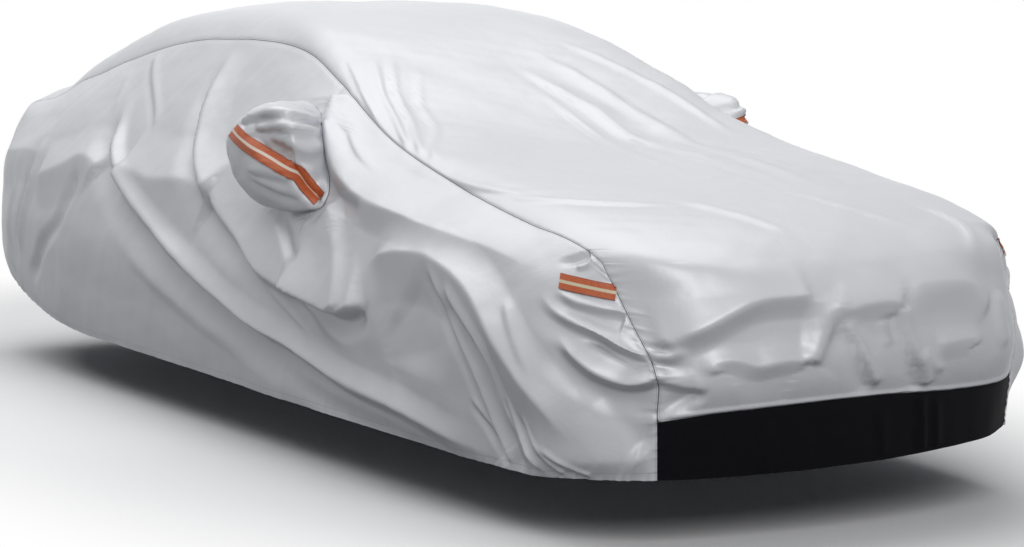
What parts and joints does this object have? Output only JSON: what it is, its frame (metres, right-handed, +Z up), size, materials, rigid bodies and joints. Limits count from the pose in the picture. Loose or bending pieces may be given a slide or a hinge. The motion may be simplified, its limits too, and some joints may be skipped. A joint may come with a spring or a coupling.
{
  "type": "car cover",
  "caption": "Fitted silver cloth cover for a four-door car, as draped: top and side panels, mirror pockets, black front skirt and orange reflective tapes.",
  "frame": {"origin": "on the underside of the roof cloth in the middle, over the rear doors, where the car's roof carries the cover", "axes": "+Z up, the front of the cover towards -Y, its right-hand side towards -X"},
  "size_m": [1.9799, 5.0382, 1.2991],
  "materials": {
    "cover_cloth": "silver-coated woven polyester, semi-gloss, finely wrinkled",
    "skirt_cloth": "black woven polyester, matt",
    "tape": "orange woven safety tape with a pale reflective line along its middle"
  },
  "bodies": {
    "root": {"centre_panel": "cover_cloth", "front_skirt": "skirt_cloth", "side_panel_right": "cover_cloth", "side_panel_left": "cover_cloth", "mirror_pocket_right": "cover_cloth", "mirror_pocket_left": "cover_cloth", "mirror_tape_right": "tape", "mirror_tape_left": "tape", "corner_tape_right": "tape", "corner_tape_left": "tape"}
  },
  "joints": []
}
